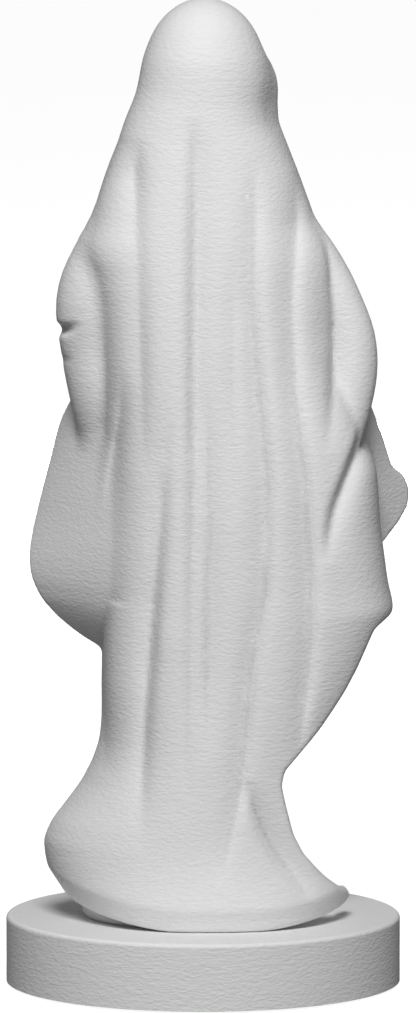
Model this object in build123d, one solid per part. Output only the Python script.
"""Standing veiled madonna on a round base.

The figure is a kit of separate castings. A solid tunic stands on the base and carries the head, the two
arms in their sleeves, the joined hands, the sash and the feet. The veil and mantle are one open shell that
slides on from behind over the head and arms, and two dowels hold it to the tunic. A screw from below holds
the figure to the base, and two pins stop it turning.

Millimetres, +Z up, origin at the centre of the base's resting face. The figure faces -Y, so its own left
side is +X. Each piece is written to parts/NODE.step.
"""

from build123d import *

import math
import os

# ---------------------------------------------------------------- driving dimensions
figure_height = 186.0  # sole of the skirt to the crown of the veil
drawn_height = 186.0  # the figure height that the outline tables are drawn for

base_radius = 40.0
base_thickness = 13.5
base_edge_round = 0.8

pad_thickness = 1.5
pad_recess = 1.0  # how deep the pad sits in the base
pad_rim = 3.5  # base edge to the recess
pad_gap = 0.3

mantle_wall = 2.2
glue_gap = 0.2  # between pieces that are glued together
mantle_gap = 0.4  # round what the mantle slides over
pin_fit = 0.05  # radial, between a pin and its hole
pin_end_gap = 0.3  # between a pin's end and the bottom of its hole

hem_lift_radius = 46.0  # the hem rises to both sides on a circle of this radius
hem_flat_centre = -3.0  # x of the middle of the flat strip that the figure stands on
hem_flat_half_width = 7.0

screw_radius = 2.0
screw_length = 16.0
screw_head_radius = 3.5
screw_head_height = 4.0
screw_socket_across_flats = 3.0
screw_socket_depth = 2.0
thread_pitch = 0.7
thread_depth = 0.35
thread_length = 12.0
screw_hole_gap = 0.25
washer_radius = 4.5
washer_thickness = 0.8
counterbore_gap = 0.5  # radial, round the washer
counterbore_depth = 5.5

insert_radius = 2.8
insert_length = 8.5
insert_groove_width = 1.2
insert_groove_depth = 0.5
thread_gap = 0.03

locating_pin_radius = 1.5
locating_pin_length = 12.0
locating_pin_spacing = 26.0

mantle_pin_radius = 1.5
mantle_pin_length = 11.0
mantle_pin_skin = 1.2  # mantle left outside the pin's end
mantle_pin_side = 5.0  # x of both pins, under a ridge of the cloth
mantle_boss_radius = 4.0
mantle_pin_heights = (58.0, 92.0)  # above the sole, as drawn

arm_pin_radius = 1.0
arm_pin_length = 9.0
arm_pin_in_sleeve = 3.0

neck_radius = 4.4
spigot_radius = 3.2
spigot_length = 7.0

cuff_radius = 6.4
cuff_hollow_radius = 4.9
cuff_hollow_depth = 4.0
wrist_stub_radius = 1.7
wrist_stub_length = 4.5
palm_gap = 0.3  # between the joined palms

sash_thickness = 0.9
sash_band = (100.0, 105.0)  # above the sole, as drawn
sash_tail_drop = 34.0
sash_tail_width = 3.6
sash_tail_splay = 2.6  # sash centre to the middle of each tail
sash_knot_radius = 2.6

# ---------------------------------------------------------------- outlines, as drawn
# Height above the sole, then reach to +X, to -X, to +Y (back) and to -Y (front).
MANTLE = [
    (0.0, 27.0, 25.0, 27.0, 28.0),
    (6.0, 31.0, 28.6, 27.8, 30.0),
    (15.6, 32.6, 20.0, 25.8, 30.0),
    (23.0, 29.5, 17.2, 24.8, 30.0),
    (34.0, 22.8, 17.5, 24.0, 30.0),
    (46.0, 21.6, 27.5, 23.4, 32.0),
    (58.0, 29.0, 34.5, 22.8, 34.0),
    (70.0, 35.0, 37.5, 22.3, 36.0),
    (84.5, 32.0, 41.5, 21.8, 38.0),
    (100.0, 28.5, 36.0, 21.0, 38.0),
    (116.0, 28.8, 35.2, 20.0, 36.0),
    (129.0, 28.0, 29.8, 18.8, 32.0),
    (141.0, 22.8, 23.0, 17.4, 27.0),
    (153.0, 18.9, 18.1, 15.6, 24.0),
    (166.0, 14.0, 14.6, 13.8, 22.0),
    (176.0, 11.6, 12.2, 11.8, 20.0),
    (182.5, 7.6, 8.4, 7.8, 13.0),
    (186.0, 1.6, 1.6, 1.8, 2.4),
]
TUNIC = [
    (0.0, 24.5, 22.5, 22.0, 26.0),
    (8.0, 26.5, 22.0, 22.0, 27.5),
    (20.0, 24.5, 15.5, 19.5, 24.0),
    (34.0, 18.8, 15.0, 17.4, 19.5),
    (52.0, 17.0, 17.5, 16.6, 18.0),
    (74.0, 17.2, 17.4, 17.0, 16.5),
    (90.0, 15.4, 15.6, 15.8, 13.8),
    (104.0, 12.4, 12.6, 14.2, 11.2),
    (122.0, 14.8, 15.0, 13.4, 12.8),
    (136.0, 16.0, 16.2, 10.4, 10.4),
    (146.0, 13.6, 13.6, 8.9, 8.0),
    (153.0, 7.2, 7.2, 6.6, 6.2),
    (156.0, 5.6, 5.6, 5.4, 5.2),
]
# The mantle's front edge in side view, from the hem up: y, height above the sole.
FRONT_EDGE = [
    (3.0, -8.0),
    (3.0, 20.0),
    (1.0, 44.0),
    (-5.0, 60.0),
    (-12.0, 78.0),
    (-15.0, 98.0),
    (-14.0, 116.0),
    (-10.0, 136.0),
    (-6.5, 150.0),
    (-5.5, 160.0),
    (-7.5, 172.0),
    (-8.5, 181.0),
    (-7.5, 192.0),
]
DOME_HEIGHT = 166.0  # above it the hood closes, so an inner wall drops as well as moving in
DOME_TOP = 186.0
LEAST_REACH = 0.8

SHOULDER = (16.0, 0.0, 143.0)  # x, y, height above the sole, on the figure's left
LEFT_ELBOW = (20.0, -0.5, 119.0)
RIGHT_ELBOW = (-24.0, -0.5, 117.0)
WRIST = (4.4, -19.5, 122.0)
SHOULDER_RADIUS, ELBOW_RADIUS = 4.6, 5.0

HAND = [  # rising along the joined hands: y, height, half width, thickness
    (-20.3, 121.5, 2.4, 3.0),
    (-21.5, 126.0, 3.6, 3.3),
    (-23.4, 132.0, 3.9, 3.1),
    (-25.2, 138.0, 3.0, 2.5),
    (-26.6, 143.0, 1.4, 1.5),
]
THUMB = ((1.2, -19.2, 128.0), (0.9, -19.8, 135.5), 1.1)

HEAD = (0.0, -0.8, 171.4)
HEAD_RADII = (8.0, 9.9, 11.9)
HEAD_BOW = 8.0  # degrees
NECK_FOOT = (0.0, 0.6, 156.0)

FOOT = (6.4, -25.0, 1.6)
FOOT_RADII = (3.4, 6.4, 3.6)

SECTION_POINTS = 20  # points round each outline
FAR = 200.0  # past everything, for cutters

# ---------------------------------------------------------------- places worked out from them
k = figure_height / drawn_height
sole_z = pad_thickness - pad_recess + base_thickness  # top of the base, where the figure stands
base_z = pad_thickness - pad_recess  # underside of the base's rim
counterbore_top = pad_thickness + counterbore_depth
screw_tip_z = counterbore_top - washer_thickness + screw_length


def up(height):
    """z of a height above the sole, as drawn."""
    return sole_z + height * k


def at(point):
    """A drawn point (x, y, height) in the model's frame."""
    return Vector(point[0] * k, point[1] * k, up(point[2]))


# ---------------------------------------------------------------- helpers
def outline(row, grow):
    """A closed smooth curve through one outline row, every side grown by the same amount."""
    height, left, right, back, front = row
    closing = max(0.0, (height - DOME_HEIGHT) / (DOME_TOP - DOME_HEIGHT))
    z = up(height) + grow * closing
    points = []
    for i in range(SECTION_POINTS):
        turn = 2 * math.pi * i / SECTION_POINTS
        side, depth = math.sin(turn), -math.cos(turn)
        across = max((left if side > 0 else right) * k + grow, LEAST_REACH)
        along = max((back if depth > 0 else front) * k + grow, LEAST_REACH)
        points.append(Vector(side * across, depth * along, z))
    return Wire([Spline(*points, periodic=True)])


def lofted(rows, grow=0.0):
    """A solid through all the rows of an outline table."""
    return Solid.make_loft([outline(row, grow) for row in rows])


def rod(start, end, radius, end_radius=None):
    """A cylinder from one point to another, or a cone if the end radius differs."""
    start, end = Vector(start), Vector(end)
    plane = Plane(origin=start, z_dir=end - start)
    length = (end - start).length
    if end_radius is None:
        return Solid.make_cylinder(radius, length, plane)
    return Solid.make_cone(radius, end_radius, length, plane)


def ball(centre, radius):
    return Solid.make_sphere(radius, Plane(origin=Vector(centre)))


def egg(centre, radii, bow=0.0):
    """An ellipsoid, its top leaning forward by an angle in degrees."""
    stretch = Matrix([[radii[0], 0, 0, 0], [0, radii[1], 0, 0], [0, 0, radii[2], 0]])
    return Pos(Vector(centre)) * Rot(bow, 0, 0) * Solid.make_sphere(1.0).transform_geometry(stretch)


def scaled(values):
    return tuple(value * k for value in values)


def slab(low, high):
    """Everything between two heights z."""
    return Pos(0, 0, (low + high) / 2) * Box(2 * FAR, 2 * FAR, high - low)


def left_of(x):
    """Everything on the figure's left of a plane across x."""
    return Pos(x + FAR, 0, 0) * Box(2 * FAR, 4 * FAR, 4 * FAR)


def right_of(x):
    return Pos(x - FAR, 0, 0) * Box(2 * FAR, 4 * FAR, 4 * FAR)


def mirrored(point):
    return (-point[0], point[1], point[2])


def pieces_of(shape):
    """The shape's solids, without the crumbs that a cut can leave."""
    solids = shape.solids()
    biggest = max(s.volume for s in solids)
    return [s for s in solids if s.volume > 0.02 * biggest]


def save(shape, node):
    solids = pieces_of(shape)
    whole = solids[0] if len(solids) == 1 else Compound(children=solids)
    whole.label = node
    export_step(whole, f"parts/{node}.step")


# ---------------------------------------------------------------- shared volumes
def in_front(gap=0.0):
    """Everything in front of the mantle's front edge, starting the gap further forward."""
    points = [Vector(0, y * k - gap, up(height)) for y, height in FRONT_EDGE]
    top, bottom = points[-1], points[0]
    far_top, far_bottom = Vector(0, -FAR, top.Z), Vector(0, -FAR, bottom.Z)
    sides = Polyline(top, far_top, far_bottom, bottom)
    face = Face(Wire([Spline(*points), *sides.edges()]))
    return Pos(-FAR, 0, 0) * Solid.extrude(face, Vector(2 * FAR, 0, 0))


def under_hem():
    """The space under the figure: it stands on a flat strip, and its hem rises to both sides."""
    turn = math.radians(60)
    reach, rise = hem_lift_radius * math.sin(turn), hem_lift_radius * (1 - math.cos(turn))
    half = math.radians(30)
    mid_reach, mid_rise = hem_lift_radius * math.sin(half), hem_lift_radius * (1 - math.cos(half))
    low = hem_flat_centre - hem_flat_half_width
    high = hem_flat_centre + hem_flat_half_width

    def point(x, z):
        return Vector(x, 0, sole_z + z)

    deep = -base_thickness
    outline_edges = [
        ThreePointArc(point(low - reach, rise), point(low - mid_reach, mid_rise), point(low, 0)),
        Line(point(low, 0), point(high, 0)),
        ThreePointArc(point(high, 0), point(high + mid_reach, mid_rise), point(high + reach, rise)),
        *Polyline(
            point(high + reach, rise),
            point(high + reach, deep),
            point(low - reach, deep),
            point(low - reach, rise),
        ).edges(),
    ]
    face = Face(Wire(outline_edges))
    return Pos(0, -FAR, 0) * Solid.extrude(face, Vector(0, 2 * FAR, 0))


def mantle_space():
    """What the pieces inside the mantle keep out of: everything behind its edge but its hollow."""
    hollow = lofted(MANTLE, -mantle_wall - mantle_gap)
    block = Pos(0, 0, (sole_z + up(DOME_TOP)) / 2) * Box(FAR, FAR, figure_height + 2 * FAR / 5)
    return block - in_front(mantle_gap) - hollow


def locating_pin_places():
    half = locating_pin_spacing / 2
    return [Vector(hem_flat_centre, y, sole_z) for y in (-half, half)]


def mantle_pin_ends():
    """(start, end) of each mantle pin, from inside the tunic to just under the mantle's skin."""
    ends = []
    for height in mantle_pin_heights:
        below = max(row for row in MANTLE if row[0] <= height)
        above = min(row for row in MANTLE if row[0] >= height)
        share = (height - below[0]) / max(above[0] - below[0], 1.0)
        left, _, back, _ = (a + (b - a) * share for a, b in zip(below[1:], above[1:]))
        reach = back * k * math.sqrt(1 - (mantle_pin_side / (left * k)) ** 2)
        end = Vector(mantle_pin_side, reach - mantle_pin_skin, up(height))
        ends.append((end - Vector(0, mantle_pin_length, 0), end))
    return ends


def arm_pin_ends(side):
    """(inner, outer) ends of the pin between the tunic's shoulder and a sleeve."""
    surface = SHOULDER[0] * k
    z = up(SHOULDER[2])
    outer = surface + arm_pin_in_sleeve
    inner = outer - arm_pin_length
    return Vector(side * inner, 0, z), Vector(side * outer, 0, z)


def longer(start, end, extra):
    """The two points moved apart, each by the extra."""
    along = (end - start).normalized() * extra
    return start - along, end + along


def pin_hole(start, end, radius):
    return rod(*longer(start, end, pin_end_gap), radius + pin_fit)


# ---------------------------------------------------------------- base and its fastening
def base_disc():
    disc = Pos(0, 0, base_z + base_thickness / 2) * Cylinder(base_radius, base_thickness)
    disc = fillet(disc.edges().group_by(Axis.Z)[-1], base_edge_round)
    recess_radius = base_radius - pad_rim
    disc -= rod((0, 0, -1), (0, 0, pad_thickness), recess_radius)
    disc -= rod((0, 0, 0), (0, 0, counterbore_top), washer_radius + counterbore_gap)
    disc -= rod((0, 0, 0), (0, 0, sole_z + 1), screw_radius + screw_hole_gap)
    for place in locating_pin_places():
        half = Vector(0, 0, locating_pin_length / 2)
        disc -= pin_hole(place - half, place + half, locating_pin_radius)
    return disc


def felt_pad():
    radius = base_radius - pad_rim - pad_gap
    return rod((0, 0, 0), (0, 0, pad_thickness - 0.05), radius)


def fixing_screw():
    """A socket head screw, its thread as a stack of V grooves."""
    head_top = counterbore_top - washer_thickness
    plain = screw_length - thread_length
    points = [(0.0, head_top), (screw_radius, head_top), (screw_radius, head_top + plain)]
    turns = int(thread_length / thread_pitch)
    for turn in range(turns):
        z = head_top + plain + turn * thread_pitch
        points.append((screw_radius - thread_depth, z + thread_pitch / 2))
        points.append((screw_radius, z + thread_pitch))
    points.append((screw_radius - thread_depth, screw_tip_z))
    points.append((0.0, screw_tip_z))
    profile = Face(Polyline(*[Vector(r, 0, z) for r, z in points], close=True).wire())
    shank = revolve(profile, Axis.Z)
    head = rod((0, 0, head_top - screw_head_height), (0, 0, head_top), screw_head_radius)
    head = fillet(Part(head.wrapped).edges().group_by(Axis.Z)[0], thread_depth)
    socket_plane = Plane(origin=(0, 0, head_top - screw_head_height))
    hexagon = socket_plane * RegularPolygon(screw_socket_across_flats / 2, 6, major_radius=False)
    return shank + head - extrude(hexagon, screw_socket_depth)


def screw_washer():
    low = counterbore_top - washer_thickness
    ring = rod((0, 0, low), (0, 0, counterbore_top), washer_radius)
    return ring - rod((0, 0, low), (0, 0, counterbore_top), screw_radius + screw_hole_gap)


def threaded_insert():
    """A brass insert in the tunic's sole, with two grooves that the casting grips."""
    top = sole_z + insert_length
    body = rod((0, 0, sole_z), (0, 0, top), insert_radius)
    for share in (1 / 3, 2 / 3):
        middle = sole_z + insert_length * share
        low, high = middle - insert_groove_width / 2, middle + insert_groove_width / 2
        ring = rod((0, 0, low), (0, 0, high), insert_radius + 1)
        body -= ring - rod((0, 0, low), (0, 0, high), insert_radius - insert_groove_depth)
    return body - rod((0, 0, sole_z), (0, 0, top), screw_radius + thread_gap)


def locating_pins():
    half = Vector(0, 0, locating_pin_length / 2)
    pins = [rod(p - half, p + half, locating_pin_radius) for p in locating_pin_places()]
    return Compound(children=pins)


# ---------------------------------------------------------------- tunic, feet and sash
def foot(side, grow=0.0):
    centre = at((side * FOOT[0], FOOT[1], FOOT[2]))
    radii = tuple(radius * k + grow for radius in FOOT_RADII)
    return egg(centre, radii) - slab(-FAR, sole_z)


def tunic(mantle_out, hem_cut):
    body = lofted(TUNIC) - hem_cut - mantle_out
    body = max(body.solids(), key=lambda s: s.volume)
    for start, end in mantle_pin_ends():
        body -= pin_hole(start, end, mantle_pin_radius)
    for side in (-1, 1):
        body -= foot(side, glue_gap)
        body -= pin_hole(*arm_pin_ends(side), arm_pin_radius)
    for place in locating_pin_places():
        half = Vector(0, 0, locating_pin_length / 2)
        body -= pin_hole(place - half, place + half, locating_pin_radius)
    well_top = max(sole_z + insert_length, screw_tip_z) + pin_end_gap
    body -= rod((0, 0, sole_z - 1), (0, 0, sole_z + insert_length), insert_radius)
    body -= rod((0, 0, sole_z - 1), (0, 0, well_top), screw_radius + screw_hole_gap)
    neck_foot = at(NECK_FOOT)
    socket_floor = neck_foot - Vector(0, 0, spigot_length + pin_end_gap)
    body -= rod(socket_floor, neck_foot + Vector(0, 0, 1), spigot_radius + pin_fit)
    return body - slab(neck_foot.Z, FAR + neck_foot.Z)


def sash(mantle_out):
    """A band round the waist with a knot and two tails that lie on the skirt."""
    tunic_room = lofted(TUNIC, glue_gap)
    skin = lofted(TUNIC, glue_gap + sash_thickness) - tunic_room
    low, high = up(sash_band[0]), up(sash_band[1])
    tail_low = low - sash_tail_drop * k
    belt = skin & slab(low, high)
    for side in (-1, 1):
        middle = Pos(side * sash_tail_splay, -FAR / 2, (tail_low + high) / 2)
        belt += skin & (middle * Box(sash_tail_width, FAR, high - tail_low))
    waist_front = next(row for row in TUNIC if row[0] >= sash_band[0])[4]
    knot = ball((0, -waist_front * k - sash_thickness, (low + high) / 2), sash_knot_radius)
    return belt + (knot - tunic_room) - mantle_out


# ---------------------------------------------------------------- mantle and its pins
def mantle(hem_cut):
    outer = lofted(MANTLE)
    shell = outer - lofted(MANTLE, -mantle_wall) - in_front() - hem_cut
    tunic_room = lofted(TUNIC, glue_gap)
    for start, end in mantle_pin_ends():
        inner = start + Vector(0, mantle_pin_length / 2, 0)
        boss = rod(inner, end + Vector(0, mantle_pin_skin, 0), mantle_boss_radius)
        shell += (boss & outer) - tunic_room
        shell -= pin_hole(start, end, mantle_pin_radius)
    return shell


def mantle_pins():
    return Compound(children=[rod(a, b, mantle_pin_radius) for a, b in mantle_pin_ends()])


# ---------------------------------------------------------------- head, arms and hands
def head(mantle_out):
    """Egg-shaped head with a small nose, on a neck that ends in a spigot."""
    skull = egg(at(HEAD), scaled(HEAD_RADII), HEAD_BOW)
    neck_foot = at(NECK_FOOT)
    neck = rod(neck_foot, at(HEAD), neck_radius * k)
    nose_root = at((0, HEAD[1] - HEAD_RADII[1] + 1.0, HEAD[2] + 0.6))
    nose_tip = at((0, HEAD[1] - HEAD_RADII[1] - 0.6, HEAD[2] - 3.2))
    nose = rod(nose_root, nose_tip, 0.7 * k, 1.3 * k)
    spigot = rod(neck_foot - Vector(0, 0, spigot_length), neck_foot + Vector(0, 0, 1), spigot_radius)
    above = skull + neck + nose - slab(-FAR, neck_foot.Z) - mantle_out
    return above + spigot


def wrist_end(side):
    """The wrist, and the unit vector from the elbow to it."""
    elbow = at(LEFT_ELBOW if side > 0 else RIGHT_ELBOW)
    wrist = at((side * WRIST[0], WRIST[1], WRIST[2]))
    return elbow, wrist, (wrist - elbow).normalized()


def sleeve(side, mantle_out):
    """An arm in its sleeve: upper arm, elbow and a forearm that flares to a hollow cuff."""
    shoulder = at((side * SHOULDER[0], SHOULDER[1], SHOULDER[2]))
    elbow, wrist, along = wrist_end(side)
    arm = rod(shoulder, elbow, SHOULDER_RADIUS * k, ELBOW_RADIUS * k)
    arm += ball(shoulder, SHOULDER_RADIUS * k) + ball(elbow, ELBOW_RADIUS * k)
    arm += rod(elbow, wrist, ELBOW_RADIUS * k, cuff_radius)
    arm = arm - mantle_out - lofted(TUNIC, glue_gap)
    own_side = left_of(palm_gap / 2) if side > 0 else right_of(-palm_gap / 2)
    arm = arm & own_side
    hollow_floor = wrist - along * cuff_hollow_depth
    arm -= rod(hollow_floor, wrist + along * 2, cuff_hollow_radius)
    arm -= rod(hollow_floor - along * (wrist_stub_length + pin_end_gap), wrist, wrist_stub_radius + pin_fit)
    arm -= pin_hole(*arm_pin_ends(side), arm_pin_radius)
    return max(arm.solids(), key=lambda s: s.volume)


def arm_pins():
    return Compound(children=[rod(*arm_pin_ends(side), arm_pin_radius) for side in (-1, 1)])


def hand(side):
    """Half of a pair of joined hands: a palm with fingers, a thumb and a stub in the cuff."""
    sections = []
    for i, (y, height, half_width, thickness) in enumerate(HAND):
        ahead = HAND[min(i + 1, len(HAND) - 1)]
        behind = HAND[max(i - 1, 0)]
        rise = Vector(0, (ahead[0] - behind[0]) * k, (ahead[1] - behind[1]) * k)
        plane = Plane(origin=at((0, y, height)), x_dir=(1, 0, 0), z_dir=rise)
        sections.append(plane * Ellipse(thickness * k, half_width * k))
    palm = loft(sections)
    start, end, radius = THUMB
    thumb_start = at((side * start[0], start[1], start[2]))
    thumb_end = at((side * end[0], end[1], end[2]))
    thumb = rod(thumb_start, thumb_end, radius * k) + ball(thumb_end, radius * k)
    _, wrist, along = wrist_end(side)
    hollow_floor = wrist - along * cuff_hollow_depth
    palm_foot = at((side * HAND[0][3] / 2, HAND[0][0] - 0.6, HAND[0][1] + 1.5))
    wrist_rod = rod(hollow_floor, palm_foot, wrist_stub_radius, wrist_stub_radius * 1.2)
    stub = rod(hollow_floor - along * wrist_stub_length, hollow_floor, wrist_stub_radius)
    joined = palm + thumb + wrist_rod
    own_side = left_of(palm_gap / 2) if side > 0 else right_of(-palm_gap / 2)
    return (joined & own_side) + stub


# ---------------------------------------------------------------- build
def main():
    os.makedirs("parts", exist_ok=True)
    mantle_out, hem_cut = mantle_space(), under_hem()
    nodes = {
        "base_disc": base_disc(),
        "felt_pad": felt_pad(),
        "fixing_screw": fixing_screw(),
        "screw_washer": screw_washer(),
        "threaded_insert": threaded_insert(),
        "locating_pins": locating_pins(),
        "tunic": tunic(mantle_out, hem_cut),
        "sash": sash(mantle_out),
        "left_foot": foot(1),
        "right_foot": foot(-1),
        "mantle": mantle(hem_cut),
        "mantle_pins": mantle_pins(),
        "head": head(mantle_out),
        "left_sleeve": sleeve(1, mantle_out),
        "right_sleeve": sleeve(-1, mantle_out),
        "arm_pins": arm_pins(),
        "left_hand": hand(1),
        "right_hand": hand(-1),
    }
    for node, shape in nodes.items():
        save(shape, node)


if __name__ == "__main__":
    main()
